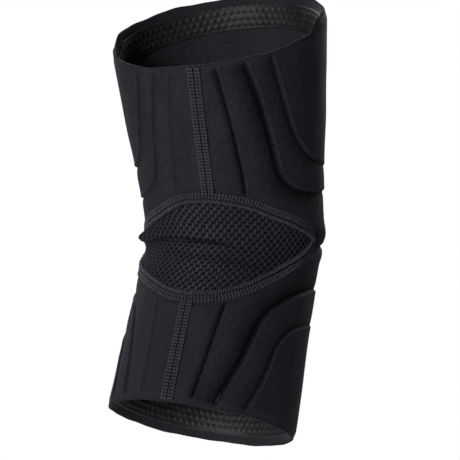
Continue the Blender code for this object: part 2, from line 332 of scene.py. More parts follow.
KNIFE: dict[str, float] = {"depth": 0.0028, "soft_side": 0.0026, "lip": 0.0002}
FAINT: dict[str, float] = {"depth": 0.0007, "soft_side": 0.0030, "sharp_side": 0.0006,
                           "lip": 0.0002}
GROOVES: dict[tuple[Half, Side], tuple[Groove, ...]] = {
    (Half.THIGH, Side.RIGHT): (
        Groove(((0.132, 17.0), (0.104, 21.4), (0.076, 25.0), (0.062, 26.6), (0.040, 28.0)),
               **KNIFE),
        Groove(((0.134, 31.5), (0.1085, 38.5), (0.078, 45.0), (0.053, 51.0), (0.042, 61.0),
                (0.035, 74.0), (0.025, 104.0), (0.024, 179.0)), depth=0.0040,
               soft_side=0.0100),
        Groove(((0.135, 46.0), (0.106, 52.2), (0.078, 60.5), (0.064, 70.0), (0.055, 81.0),
                (0.043, 104.0), (0.040, 179.0)), depth=0.0020)),
    (Half.THIGH, Side.LEFT): (
        Groove(((0.131, 5.5), (0.097, 9.4), (0.061, 12.2), (0.046, 13.2)), **FAINT),
        Groove(((0.132, 15.2), (0.096, 21.4), (0.058, 28.0), (0.045, 38.0), (0.034, 55.0),
                (0.028, 72.0), (0.025, 104.0), (0.024, 179.0)), depth=0.0013,
               soft_side=0.0040),
        Groove(((0.132, 26.6), (0.105, 31.5), (0.076, 38.5), (0.062, 48.0), (0.054, 62.0),
                (0.048, 81.0), (0.043, 104.0), (0.040, 179.0)), depth=0.0015,
               soft_side=0.0050)),
    (Half.CALF, Side.RIGHT): (
        Groove(((-0.137, 13.0), (-0.120, 15.5), (-0.097, 18.5), (-0.071, 22.0)), **KNIFE),
        Groove(((-0.138, 27.0), (-0.123, 32.0), (-0.107, 38.0), (-0.082, 45.0), (-0.072, 50.0),
                (-0.063, 59.0), (-0.053, 71.0), (-0.034, 108.0), (-0.029, 179.0)),
               depth=0.0040, soft_side=0.0100),
        Groove(((-0.138, 44.0), (-0.124, 50.0), (-0.112, 54.0), (-0.091, 60.0), (-0.080, 68.0),
                (-0.074, 76.0), (-0.056, 123.0), (-0.053, 179.0)), depth=0.0020)),
    (Half.CALF, Side.LEFT): (
        Groove(((-0.136, 19.0), (-0.110, 19.5), (-0.088, 21.0), (-0.066, 23.0)), **FAINT),
        Groove(((-0.136, 34.0), (-0.110, 38.0), (-0.085, 44.0), (-0.072, 52.0), (-0.063, 64.0),
                (-0.050, 84.0), (-0.034, 108.0), (-0.029, 179.0)), depth=0.0013,
               soft_side=0.0040),
        Groove(((-0.137, 50.0), (-0.118, 55.0), (-0.100, 61.0), (-0.086, 72.0), (-0.074, 90.0),
                (-0.056, 123.0), (-0.053, 179.0)), depth=0.0015, soft_side=0.0050)),
}


@dataclass
class PressedPattern:
    """Height of the outer surface over the smooth form: grooves, crowns, creases and slack.

    The crease line is (angle from the back seam, height).
    """

    form: LegForm
    crown: float = 0.0012
    slack: float = 0.00022
    slack_wave: float = 0.034
    wrinkle_wave: float = 0.012
    full_press: float = 0.0030
    front_loss: float = 0.6
    front_angles: tuple[float, float] = (66.0, 100.0)
    reach_along: float = 0.012
    reach_round: float = 11.0
    hem_margin: tuple[float, float] = (0.0005, 0.0055)
    seam_margin: tuple[float, float] = (0.0050, 0.0090)
    corner_margin: float = 3.0
    pillow_rise: float = 0.0026
    crease_depth: float = 0.0019
    crease_line: tuple[tuple[float, float], ...] = (
        (60.0, -0.034), (68.0, -0.027), (76.0, -0.019), (88.0, -0.012), (104.0, -0.008),
        (118.0, -0.007))
    seed: int = 7
    lines: dict[tuple[Half, Side], list[Array]] = field(default_factory=dict)

    def __post_init__(self) -> None:
        """Work out the smooth groove lines once."""
        self.lines = {key: [g.smooth_line() for g in group] for key, group in GROOVES.items()}

    def line_distance(self, line: Array, s: Array, turn: Array, half: Half) -> Array:
        """Signed distance from a groove line, positive on the side away from the back seam.

        Args:
            line: Rows of (height, angle).
            s: Heights of the places.
            turn: Angles of the places from the back seam.
            half: The half that the groove is pressed into.

        Returns:
            Signed distances in metres.
        """
        lx, ly = self.form.across(line[:, 0], line[:, 1]), line[:, 0]
        px, py = self.form.across(s, turn), s
        best = np.full(px.shape, 1.0)
        signed = np.full(px.shape, 1.0)
        for ax, ay, bx, by in zip(lx[:-1], ly[:-1], lx[1:], ly[1:]):
            dx, dy = bx - ax, by - ay
            t = np.clip(((px - ax) * dx + (py - ay) * dy) / (dx * dx + dy * dy), 0.0, 1.0)
            qx, qy = px - ax - t * dx, py - ay - t * dy
            gap = np.hypot(qx, qy)
            cross = (dx * qy - dy * qx) * half.value
            near = gap < best
            best = np.where(near, gap, best)
            signed = np.where(near, np.sign(cross) * gap, signed)
        return signed

    def soft_noise(self, x: Array, y: Array, wave: float, seed: int) -> Array:
        """Smooth aimless waves of about one wavelength.

        Args:
            x: Distances round the leg.
            y: Distances along the leg.
            wave: Usual wavelength in metres.
            seed: Which of the sleeve's waves to make.

        Returns:
            Values within about -1 to 1.
        """
        rng = np.random.default_rng(self.seed + seed)
        total = np.zeros(np.broadcast(x, y).shape)
        for _ in range(10):
            heading = rng.uniform(0.0, 2.0 * math.pi)
            pace = 2.0 * math.pi / (wave * rng.uniform(0.7, 1.4))
            total += np.sin(pace * (x * math.cos(heading) + y * math.sin(heading))
                            + rng.uniform(0.0, 2.0 * math.pi))
        return total / 4.5

    def side_fold(self, s: Array, turn: Array) -> Array:
        """The slack pillow in front of the panel's corner, with the crease under it.

        Args:
            s: Heights along the leg.
            turn: Angles from the back seam.

        Returns:
            Heights over the smooth form.
        """
        pillow = self.pillow_rise * bump(s, -0.001, 0.0075) * bump(turn, 96.0, 13.0)
        crease_height = np.interp(turn, *zip(*self.crease_line))
        fade = ease(turn, 62.0, 74.0) * (1.0 - ease(turn, 104.0, 122.0))
        crease = -self.crease_depth * bump(s, crease_height, 0.0017) * fade
        under = 0.0010 * bump(s, crease_height - 0.006, 0.004) * fade
        return pillow + crease + under

    def press_grooves(self, s: Array, angle: Array) -> tuple[Array, Array]:
        """Relief of the grooves alone.

        Args:
            s: Heights along the leg.
            angle: Angles round the leg in degrees.

        Returns:
            Heights in metres, and how hard each place is pressed.
        """
        turn = fold_angle(angle)
        total = np.zeros(s.shape)
        pressed = np.zeros(s.shape)
        on_right = (np.asarray(angle) % 360.0) < 180.0
        for (half, side), grooves in GROOVES.items():
            here = on_right if side is Side.RIGHT else ~on_right
            for groove, line in zip(grooves, self.lines[(half, side)]):
                low, high = line.min(axis=0), line.max(axis=0)
                near = here & (s > low[0] - self.reach_along) & (s < high[0] + self.reach_along)
                near &= (turn > low[1] - self.reach_round) & (turn < high[1] + self.reach_round)
                signed = self.line_distance(line, s[near], turn[near], half)
                kept = 1.0 - self.front_loss * ease(turn[near], *self.front_angles)
                dip = groove.profile(signed) * kept
                total[near] += dip
                # How deep each place is pressed, 0 to 1; the jersey's colour darkens by it as
                # painted shade in the grooves.
                pressed[near] = np.maximum(pressed[near], -dip / self.full_press)
        return total, pressed

    def relief(self, s: Array, angle: Array) -> tuple[Array, Array]:
        """Relief of the outer surface over the smooth form.

        Args:
            s: Heights along the leg.
            angle: Angles round the leg in degrees.

        Returns:
            Heights in metres, positive outwards, and how hard each place is pressed, 0 to 1.
        """
        turn = fold_angle(angle)
        x = self.form.across(s, turn)
        total, pressed = self.press_grooves(s, angle)
        total += self.crown * (0.65 + 0.35 * np.sin(np.radians(angle)))
        total += self.side_fold(s, turn)
        signed_x = np.where(np.asarray(angle) % 360.0 > 180.0, -x, x)
        total += self.slack * self.soft_noise(signed_x, s, self.slack_wave, 1)
        total += 0.4 * self.slack * self.soft_noise(signed_x, s * 0.45, self.wrinkle_wave, 2)
        hem_gap = np.minimum(self.form.thigh_hem(angle) - s, s - self.form.calf_hem(angle))
        near_hem = ease(hem_gap, *self.hem_margin)
        total *= near_hem
        pressed *= near_hem
        lens = self.form.in_panel(angle, self.corner_margin)
        up_gap = np.abs(s - self.form.panel_edge(angle, Half.THIGH))
        low_gap = np.abs(s - self.form.panel_edge(angle, Half.CALF))
        calm = ease(np.minimum(up_gap, low_gap), *self.seam_margin)
        calm = np.where(lens, calm, 1.0)
        return total * calm, np.clip(pressed * calm, 0.0, 1.0)


def set_value(shader: bpy.types.Node, name: str, value: float | Sequence[float]) -> None:
    """Set one input of a shader node."""
    shader.inputs[name].default_value = value


@dataclass(frozen=True)
class Finish:
    """A cloth-like finish. Subclasses add their own surface pattern."""

    name: str
    dark: Colour
    light: Colour
    roughness: float = 0.85
    specular: float = 0.10
    sheen: float = 0.07
    sheen_tint: Colour = (0.60, 0.56, 0.80)
    bump_distance: float = 0.0003

    def material(self) -> bpy.types.Material:
        """Build the material the first time, and find it again later.

        Returns:
            The finish's material.
        """
        made = bpy.data.materials.get(self.name)
        if made is not None:
            return made
        made = bpy.data.materials.new(self.name)
        made.use_nodes = True
        nodes = made.node_tree.nodes
        shader = nodes["Principled BSDF"]
        set_value(shader, "Roughness", self.roughness)
        set_value(shader, "Specular IOR Level", self.specular)
        set_value(shader, "Sheen Weight", self.sheen)
        set_value(shader, "Sheen Roughness", 0.45)
        set_value(shader, "Sheen Tint", (*self.sheen_tint, 1.0))
        self.pattern(made.node_tree, shader)
        made.diffuse_color = (*self.light, 1.0)
        return made

    def noise(self, tree: bpy.types.NodeTree, scale: float, detail: float,
              stretch: tuple[float, float, float] = (1.0, 1.0, 1.0)) -> bpy.types.Node:
        """Noise laid along the cloth.

        Args:
            tree: The material's node tree.
            scale: Noise cells in each metre.
            detail: Extra octaves.
            stretch: Scale along the cloth's two directions.

        Returns:
            The noise node.
        """
        place = tree.nodes.new("ShaderNodeUVMap")
        place.uv_map = "cloth"
        mapping = tree.nodes.new("ShaderNodeMapping")
        mapping.inputs["Scale"].default_value = stretch
        noise = tree.nodes.new("ShaderNodeTexNoise")
        noise.inputs["Scale"].default_value = scale
        noise.inputs["Detail"].default_value = detail
        tree.links.new(place.outputs["UV"], mapping.inputs["Vector"])
        tree.links.new(mapping.outputs["Vector"], noise.inputs["Vector"])
        return noise

    def paint(self, tree: bpy.types.NodeTree, shader: bpy.types.Node,
              factor: bpy.types.NodeSocket, low: float = 0.3, high: float = 0.7) -> None:
        """Colour the cloth between its dark and light tone.

        Args:
            tree: The material's node tree.
            shader: The material's shader.
            factor: What chooses the tone.
            low: Factor where the dark tone ends.
            high: Factor where the light tone starts.
        """
        ramp = tree.nodes.new("ShaderNodeValToRGB")
        ramp.color_ramp.elements[0].position = low
        ramp.color_ramp.elements[0].color = (*self.dark, 1.0)
        ramp.color_ramp.elements[1].position = high
        ramp.color_ramp.elements[1].color = (*self.light, 1.0)
        tree.links.new(factor, ramp.inputs["Fac"])
        tree.links.new(ramp.outputs["Color"], shader.inputs["Base Color"])

    def raise_by(self, tree: bpy.types.NodeTree, shader: bpy.types.Node,
                 height: bpy.types.NodeSocket, strength: float = 0.6) -> None:
        """Add relief too fine to model.

        Args:
            tree: The material's node tree.
            shader: The material's shader.
            height: The relief, 0 to 1.
            strength: Share of the relief that shows.
        """
        relief = tree.nodes.new("ShaderNodeBump")
        relief.inputs["Strength"].default_value = strength
        relief.inputs["Distance"].default_value = self.bump_distance
        tree.links.new(height, relief.inputs["Height"])
        tree.links.new(relief.outputs["Normal"], shader.inputs["Normal"])

    def mixed(self, tree: bpy.types.NodeTree, first: bpy.types.NodeSocket,
              second: bpy.types.NodeSocket, share: float) -> bpy.types.NodeSocket:
        """Mix two values.

        Args:
            tree: The material's node tree.
            first: The first value.
            second: The second value.
            share: Share of the second value.

        Returns:
            The mixed value.
        """
        mix = tree.nodes.new("ShaderNodeMix")
        mix.inputs["Factor"].default_value = share
        tree.links.new(first, mix.inputs["A"])
        tree.links.new(second, mix.inputs["B"])
        return mix.outputs["Result"]

    def pattern(self, tree: bpy.types.NodeTree, shader: bpy.types.Node) -> None:
        """Plain mottled cloth.

        Args:
            tree: The material's node tree.
            shader: The material's shader.
        """
        speckle = self.noise(tree, 900.0, 2.0)
        self.paint(tree, shader, speckle.outputs["Fac"])
        self.raise_by(tree, shader, speckle.outputs["Fac"], 0.3)


@dataclass(frozen=True)
class Jersey(Finish):
    """Fine knit jersey: close upright wales, a melange of dark yarns, and painted shade in the
    pressed grooves.
    """

    wale: float = 0.0011
    # Share of tone taken away where a groove is pressed fully: painted shade in the grooves.
    glaze: float = 0.36

    def pattern(self, tree: bpy.types.NodeTree, shader: bpy.types.Node) -> None:
        """Wales, speckle, slow mottling, and painted shade that darkens the pressed grooves.

        Args:
            tree: The material's node tree.
            shader: The material's shader.
        """
        place = tree.nodes.new("ShaderNodeUVMap")
        place.uv_map = "cloth"
        wales = tree.nodes.new("ShaderNodeTexWave")
        wales.wave_type = "BANDS"
        wales.bands_direction = "X"
        wales.inputs["Scale"].default_value = math.pi / (10.0 * self.wale)
        wales.inputs["Distortion"].default_value = 1.2
        wales.inputs["Detail"].default_value = 1.0
        wales.inputs["Detail Scale"].default_value = 60.0
        tree.links.new(place.outputs["UV"], wales.inputs["Vector"])
        speckle = self.noise(tree, 620.0, 3.0, (1.0, 0.45, 1.0))
        cloud = self.noise(tree, 45.0, 2.0, (1.0, 0.5, 1.0))
        fine = self.mixed(tree, speckle.outputs["Fac"], wales.outputs["Fac"], 0.22)
        tone = self.mixed(tree, fine, cloud.outputs["Fac"], 0.3)
        # Painted shade: the tone darkens by how deep each groove is pressed.
        pressed = tree.nodes.new("ShaderNodeAttribute")
        pressed.attribute_name = "pressed"
        shaded_tone = tree.nodes.new("ShaderNodeMath")
        shaded_tone.operation = "MULTIPLY_ADD"
        shaded_tone.inputs[1].default_value = -self.glaze
        tree.links.new(pressed.outputs["Fac"], shaded_tone.inputs[0])
        tree.links.new(tone, shaded_tone.inputs[2])
        self.paint(tree, shader, shaded_tone.outputs["Value"], 0.10, 0.66)
        self.raise_by(tree, shader, fine, 0.55)


@dataclass(frozen=True)
class Knit(Finish):
    """Open knit whose tone follows the modelled net: light raised yarn, and holes painted dark as
    shade, with painted light and shadow in the same stored tone.
    """

    def pattern(self, tree: bpy.types.NodeTree, shader: bpy.types.Node) -> None:
        """Tone stored with the net, painted light and shade included, with yarn fuzz over it.

        Args:
            tree: The material's node tree.
            shader: The material's shader.
        """
        tone = tree.nodes.new("ShaderNodeAttribute")
        tone.attribute_name = "net_tone"
        speckle = self.noise(tree, 800.0, 2.0)
        both = self.mixed(tree, tone.outputs["Fac"], speckle.outputs["Fac"], 0.25)
        self.paint(tree, shader, both, 0.15, 0.85)
        self.raise_by(tree, shader, speckle.outputs["Fac"], 0.4)


@dataclass(frozen=True)
class Yarn(Finish):
    """Twisted sewing thread."""

    def pattern(self, tree: bpy.types.NodeTree, shader: bpy.types.Node) -> None:
        """Fine twist in tone and relief.

        Args:
            tree: The material's node tree.
            shader: The material's shader.
        """
        twist = self.noise(tree, 1500.0, 1.0, (1.0, 0.35, 1.0))
        self.paint(tree, shader, twist.outputs["Fac"], 0.3, 0.7)
        self.raise_by(tree, shader, twist.outputs["Fac"], 0.5)


@dataclass(frozen=True)
class Silicone(Finish):
    """Matt rubber with a faint bloom."""

    def pattern(self, tree: bpy.types.NodeTree, shader: bpy.types.Node) -> None:
        """Slow bloom and a little grain.

        Args:
            tree: The material's node tree.
            shader: The material's shader.
        """
        bloom = self.noise(tree, 120.0, 3.0)
        self.paint(tree, shader, bloom.outputs["Fac"], 0.35, 0.65)
        self.raise_by(tree, shader, bloom.outputs["Fac"], 0.15)


JERSEY = Jersey("pressed_jersey", (0.0012, 0.0012, 0.0020), (0.0232, 0.0220, 0.0300), sheen=0.03)
LINING = Jersey("brushed_lining", (0.006, 0.0058, 0.0075), (0.0240, 0.0230, 0.0290), wale=0.0018,
                sheen=0.15)
CUT_EDGE = Finish("cut_edge", (0.004, 0.004, 0.005), (0.012, 0.0115, 0.015), sheen=0.0)
KNIT = Knit("knit_net", (0.0020, 0.0020, 0.0034), (0.056, 0.054, 0.069), sheen=0.02,
            bump_distance=0.0002)
BAND = Finish("seam_band", (0.003, 0.003, 0.005), (0.010, 0.0095, 0.014), bump_distance=0.0002)
THREAD = Yarn("seam_yarn", (0.024, 0.0235, 0.032), (0.066, 0.064, 0.082), roughness=0.6,
              specular=0.15, bump_distance=0.00015)
RUBBER = Silicone("grip_rubber", (0.0095, 0.0095, 0.0112), (0.0185, 0.0185, 0.0215), roughness=0.55,
                  specular=0.25, sheen=0.0)
FLOOR = Finish("studio_floor", (0.80, 0.80, 0.80), (0.86, 0.86, 0.86), sheen=0.0)


def make_piece(name: str, points: Array, faces: Array, cloth: Array,
               finishes: Sequence[Finish], kinds: Array | None = None) -> bpy.types.Object:
    """Make one smooth mesh piece.

    Args:
        name: Name of the piece.
        points: Rows of x, y, z.
        faces: Rows of four corner numbers.
        cloth: Cloth place of each point, in metres.
        finishes: Finishes of the piece, first one first.
        kinds: Which finish each face has, or None for the first.

    Returns:
        The new object, linked to the scene.
    """
    mesh = bpy.data.meshes.new(name)
    mesh.vertices.add(len(points))
    mesh.vertices.foreach_set("co", np.asarray(points, np.float32).ravel())
    mesh.loops.add(faces.size)
    mesh.loops.foreach_set("vertex_index", np.asarray(faces, np.int32).ravel())
    mesh.polygons.add(len(faces))
    mesh.polygons.foreach_set("loop_start", np.arange(0, faces.size, faces.shape[1], dtype=np.int32))
    mesh.update(calc_edges=True)
    mesh.polygons.foreach_set("use_smooth", np.ones(len(faces), bool))
    for finish in finishes:
        mesh.materials.append(finish.material())
    if kinds is not None:
        mesh.polygons.foreach_set("material_index", np.asarray(kinds, np.int32))
    layer = mesh.uv_layers.new(name="cloth")
    layer.data.foreach_set("uv", np.asarray(cloth, np.float32)[faces.ravel()].ravel())
    mesh.validate()
    piece = bpy.data.objects.new(name, mesh)
    bpy.context.scene.collection.objects.link(piece)
    return piece


def store_tone(piece: bpy.types.Object, name: str, tone: Array) -> None:
    """Store one value from 0 to 1 at each point of a piece."""
    layer = piece.data.attributes.new(name, "FLOAT", "POINT")
    layer.data.foreach_set("value", np.asarray(tone, np.float32).ravel())


def grid_faces(rows: int, columns: int, start: int = 0, wrap: bool = False) -> Array:
    """Corner numbers of a grid's faces, facing outwards on the sleeve.

    Args:
        rows: Rows of points.
        columns: Points in each row.
        start: Number of the first point.
        wrap: Whether the last column joins the first.

    Returns:
        Rows of four corner numbers.
    """
    r = np.arange(rows - 1)[:, None]
    c = np.arange(columns if wrap else columns - 1)[None, :]
    low = r * columns + c
    side = r * columns + (c + 1) % columns
    faces = np.stack([low, side, side + columns, low + columns], axis=-1).reshape(-1, 4)
    return faces + start


def weld(piece: bpy.types.Object, distance: float = 0.000002) -> None:
    """Join points that coincide.

    Args:
        piece: The piece to weld.
        distance: Greatest gap to close, in metres.
    """
    work = bmesh.new()
    work.from_mesh(piece.data)
    bmesh.ops.remove_doubles(work, verts=work.verts, dist=distance)
    work.to_mesh(piece.data)
    work.free()


def bend_with_knee(piece: bpy.types.Object) -> None:
    """Bake a piece's transform into its mesh."""
    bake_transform(piece)


@dataclass
class SleeveWall:
    """The bonded wall: pressed outer jersey with its cut hems, and the lining inside it."""

    form: LegForm
    pattern: PressedPattern
    columns: int = 960
    rows: int = 230
    lining_columns: int = 200
    lining_rows: int = 120
    lining_setback: float = 0.0012
    lining_ripple: float = 0.0003
    edge_thickness: float = 0.0024
    edge_round: float = 0.0004
    turn_in: float = 0.0060
    hem_wave: float = 0.0005
    calf_wave_share: float = 0.6

    def hem_ripple(self, angle: Array) -> Array:
        """Small uneven wave of a raw hem.

        Args:
            angle: Angles round the leg in degrees.

        Returns:
            Heights over the even hem.
        """
        around = np.radians(angle)
        return self.hem_wave * (np.sin(5.0 * around + 0.7) + 0.6 * np.sin(11.0 * around + 2.0)
                                + 0.3 * np.sin(23.0 * around))

    def hem(self, half: Half, angle: Array) -> Array:
        """Height of a half's rippled hem.

        Args:
            half: The half that the hem ends.
            angle: Angles round the leg in degrees.

        Returns:
            Heights along the leg.
        """
        if half is Half.THIGH:
            return self.form.thigh_hem(angle) + self.hem_ripple(angle)
        return self.form.calf_hem(angle) - self.calf_wave_share * self.hem_ripple(angle)

    def outer_rows(self, half: Half, angle: Array) -> list[Array]:
        """Heights of the outer surface's rows on one half, from low to high.

        Args:
            half: The half to cover.
            angle: Angle of each column.

        Returns:
            One array of heights for each row.
        """
        low, high = self.form.panel_edge(angle, half), self.hem(half, angle)
        if half is Half.CALF:
            low, high = high, low
        return [low + (high - low) * t for t in np.linspace(0.0, 1.0, self.rows)]

    def rim(self, hem: Array, angle: Array, way: float) -> list[tuple[Array, Array]]:
        """Rows that turn over the cut edge and a little way inside.

        Args:
            hem: Height of the hem at each column.
            angle: Angle of each column.
            way: 1 for the upper hem, -1 for the lower.

        Returns:
            Heights along the leg, and heights over the smooth form, for each row.
        """
        thick, soft = self.edge_thickness, self.edge_round
        steps = ((0.75 * soft, 0.5 * soft), (soft, 2.0 * soft), (soft, thick - soft),
                 (0.25 * soft, thick), (-self.turn_in, thick + 0.75 * soft))
        return [(hem + way * up, -inwards + 0.0 * angle) for up, inwards in steps]

    def build_outer(self) -> bpy.types.Object:
        """Make the outer jersey with its hems.

        Returns:
            The outer piece.
        """
        angle = np.linspace(0.0, 360.0, self.columns + 1)[:-1]
        low_rows = self.outer_rows(Half.CALF, angle)
        high_rows = self.outer_rows(Half.THIGH, angle)
        low_rim = list(reversed(self.rim(low_rows[0], angle, -1.0)))
        high_rim = self.rim(high_rows[-1], angle, 1.0)
        heights = np.concatenate([low_rows, high_rows])
        out, pressed = self.pattern.relief(heights, np.broadcast_to(angle, heights.shape))
        rows: list[tuple[Array, Array]] = [*low_rim, *zip(heights, out), *high_rim]
        cut = len(low_rim) + self.rows
        rim_rows = len(low_rim)
        # Groove depth share for each point, used for painted shade in the grooves; the rims get
        # none.
        tone = np.zeros((len(rows), self.columns))
        tone[rim_rows:rim_rows + len(heights)] = pressed
        points = np.concatenate([self.form.point(s, angle, out) for s, out in rows])
        cloth = np.concatenate([round_cloth(angle, s) for s, _ in rows])
        lower = grid_faces(cut, self.columns, wrap=True)
        upper = grid_faces(len(rows) - cut, self.columns, cut * self.columns, wrap=True)
        faces = np.concatenate([lower, upper])
        face_rows = np.repeat(np.concatenate([np.arange(cut - 1),
                                              np.arange(cut, len(rows) - 1)]), self.columns)
        edge = (face_rows >= 1) & (face_rows < rim_rows)
        edge |= (face_rows >= len(rows) - rim_rows - 1) & (face_rows < len(rows) - 2)
        piece = make_piece("sleeve_wall", points, faces, cloth, (JERSEY, CUT_EDGE),
                           edge.astype(int))
        store_tone(piece, "pressed", tone)
        weld(piece)
        return piece

    def build_lining(self) -> bpy.types.Object:
        """Make the lining, a full tube that also backs the knitted panel.

        Returns:
            The lining piece.
        """
        angle = np.linspace(0.0, 360.0, self.lining_columns + 1)[:-1]
        top = self.hem(Half.THIGH, angle) - self.lining_setback
        bottom = self.hem(Half.CALF, angle) + self.lining_setback
        points, cloth = [], []
        for t in np.linspace(0.0, 1.0, self.lining_rows):
            s = bottom + (top - bottom) * t
            gap = np.minimum(s - bottom, top - s)
            depth = self.form.inside(gap)
            ripple = self.lining_ripple * np.sin(9.0 * np.radians(angle) + 40.0 * s)
            points.append(self.form.point(s, angle, -depth + ripple * ease(gap, 0.01, 0.03)))
            cloth.append(round_cloth(angle, s))
        faces = grid_faces(self.lining_rows, self.lining_columns, wrap=True)[:, ::-1]
        return make_piece("sleeve_lining", np.concatenate(points), faces, np.concatenate(cloth),
                          (LINING,))

    def dress(self) -> None:
        """Build both layers and hide the model's parts that they replace."""
        outer = self.build_outer()
        bend_with_knee(outer)
        bands = [f"{half.word}_foam_band_{side}_{number}" for half in Half
                 for side in ("left", "right") for number in (1, 2, 3)]
        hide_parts("thigh_outer_cover", "calf_outer_cover", "knee_front_outer_cover",
                    "thigh_front_foam_pad", "calf_front_foam_pad", "knee_front_foam_pad", *bands)
        LOG.info("sleeve wall: %d faces", len(outer.data.polygons))
        lining = self.build_lining()
        bend_with_knee(lining)
        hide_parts("thigh_lining", "calf_lining", "knee_front_lining",
                    "popliteal_panel_lining")
        LOG.info("sleeve lining: %d faces", len(lining.data.polygons))


@dataclass
class KnitPanel:
    """The lens of open net behind the knee, with the fold that runs in from its left corner.

    The fold line is (angle, height).
    """

    form: LegForm
    column_pitch: float = 0.0026
    stitch_height: float = 0.0053
    yarn: float = 0.00050
    hole: float = 0.00055
    bar_slant: float = 0.34
    fold_line: tuple[tuple[float, float], ...] = (
        (-84.0, -0.0162), (-66.0, -0.0168), (-50.0, -0.0180), (-32.0, -0.0203),
        (-11.0, -0.0250), (3.0, -0.0260), (19.0, -0.0310), (40.0, -0.033))
    fold_rise: float = 0.0006
    corner_rise: float = 0.0062
    fold_radius: float = 0.0041
    crease_depth: float = 0.0022
    crease_width: float = 0.0013
    sag_depth: float = 0.0016
    under_seam: float = 0.0006
    columns: int = 470
    rows: int = 200

    def net(self, x: Array, v: Array) -> tuple[Array, Array]:
        """Height and tone of the net; the tone carries painted shade in the holes and a painted
        highlight near the back seam.

        Args:
            x: Distance round the leg, in metres.
            v: Distance up the cloth, in metres.

        Returns:
            The height over the cloth in metres, and a tone from 0 to 1.
        """
        lean = 0.10 * np.sin(v * 90.0) + 0.06 * np.sin(x * 95.0)
        u = x / self.column_pitch + lean
        column = np.round(u)
        du = u - column
        climb = v / self.stitch_height + 0.5 * (column % 2) + 0.10 * np.sin(x * 140.0 + 1.0)
        dv = climb - np.round(climb)
        slanted = np.abs(du - self.bar_slant * dv)
        bar = np.exp(-(slanted / 0.25) ** 2.4 - (np.abs(dv) / 0.37) ** 2.8)
        off = dv - 0.5 * np.where(dv < 0.0, -1.0, 1.0)
        gap = np.exp(-(du / 0.34) ** 2 - (off / 0.15) ** 2)
        height = self.yarn * bar - self.hole * gap
        shade = np.sin(column * 12.9898 + np.round(climb) * 78.233) * 43758.5453
        uneven = 0.58 + 0.42 * (shade - np.floor(shade))
        # Painted light: the yarn is lighter in a slanting band near the back seam, where the key
        # light catches the net.
        middle = 0.50 + 0.50 * bump(x + 0.12 * v, -0.002, 0.019)
        # The holes are painted dark: painted shade of the gap behind the open knit.
        tone = np.clip(0.20 + 0.80 * bar * uneven * middle - 0.45 * gap, 0.0, 1.0)
        return height, tone

    def fold(self, s: Array, v: Array, angle: Array) -> Array:
        """The crosswise fold: a ridge over a crease, strongest at the left corner.

        Args:
            s: Heights along the leg, rows by columns.
            v: Distances up the cloth, rows by columns.
            angle: Angle of each column.

        Returns:
            Heights over the cloth.
        """
        drawn = np.interp(angle, *zip(*self.fold_line))
        line = np.array([np.interp(drawn[i], s[:, i], v[:, i]) for i in range(len(angle))])
        reach = 1.0 - ease(angle, -5.0, 38.0)
        corner = 1.0 - ease(angle, -74.0, -38.0)
        above = (v - line - 0.0040) / self.fold_radius
        roll = np.sqrt(np.clip(1.0 - above ** 2, 0.0, 1.0))
        ridge = (self.fold_rise + self.corner_rise * corner) * reach * roll
        crease = -(self.crease_depth + 0.0006 * corner) * reach * bump(v, line, self.crease_width)
        middle = 1.0 - ease(np.abs(angle - 14.0), 20.0, 42.0)
        second = -0.0006 * middle * bump(v, line - 0.010, 0.0028)
        return ridge + crease + second

    def sag(self, v: Array, angle: Array) -> Array:
        """Slack of the knit between its seams.

        Args:
            v: Distances up the cloth, rows by columns.
            angle: Angle of each column.

        Returns:
            Heights over the cloth.
        """
        share = (v - v[0]) / np.maximum(v[-1] - v[0], 0.001)
        fade = 1.0 - ease(fold_angle(angle), 50.0, 80.0)
        return -self.sag_depth * np.sin(np.pi * share) * fade

    def even_rows(self, angle: Array, low: Array, high: Array) -> tuple[Array, Array]:
        """Rows spread evenly over the bent cloth.

        Args:
            angle: Angle of each column.
            low: Lowest height of each column.
            high: Highest height of each column.

        Returns:
            Heights along the leg and distances up the cloth, rows by columns.
        """
        share = np.linspace(0.0, 1.0, 320)[:, None]
        fine = low + (high - low) * share
        places = self.form.point(fine, np.broadcast_to(angle, fine.shape))
        climb = np.zeros(fine.shape)
        climb[1:] = np.cumsum(np.linalg.norm(np.diff(places, axis=0), axis=2), axis=0)
        rows = np.linspace(0.0, 1.0, self.rows)
        s, v = np.zeros((self.rows, len(angle))), np.zeros((self.rows, len(angle)))
        for i in range(len(angle)):
            even = rows * climb[-1, i]
            s[:, i] = np.interp(even, climb[:, i], fine[:, i])
            v[:, i] = even - np.interp(0.0, fine[:, i], climb[:, i])
        return s, v

    def build(self) -> bpy.types.Object:
        """Make the panel and store the tone of each point, painted light and shade included.

        Returns:
            The panel piece.
        """
        angle = np.linspace(self.form.left_corner[1] - 0.5, self.form.right_corner[1] + 0.5,
                            self.columns)
        low = self.form.panel_edge(angle, Half.CALF) - self.under_seam
        high = self.form.panel_edge(angle, Half.THIGH) + self.under_seam
        s, v = self.even_rows(angle, low, high)
        x = self.form.across(0.0, angle)[None, :] + 0.0 * s
        height, tone = self.net(x, v)
        edge = ease(np.minimum(v - v[0], v[-1] - v), 0.0008, 0.0036)
        out = -self.under_seam + height * (0.35 + 0.65 * edge)
        fold = self.fold(s, v, angle)
        out = out + (fold + self.sag(v, angle)) * edge
        # Painted shadow: the net's tone darkens along the fold's crease.
        tone = tone * (1.0 - 0.65 * np.clip(-fold / 0.0018, 0.0, 1.0))
        points = self.form.point(s, np.broadcast_to(angle, s.shape), out).reshape(-1, 3)
        cloth = np.stack([x.ravel(), v.ravel()], axis=-1)
        piece = make_piece("knit_panel", points, grid_faces(self.rows, self.columns), cloth,
                           (KNIT,))
        # Painted shade: the net's tone darkens towards its edges, beside and under the seam bands.
        store_tone(piece, "net_tone", tone * (0.25 + 0.75 * edge))
        return piece

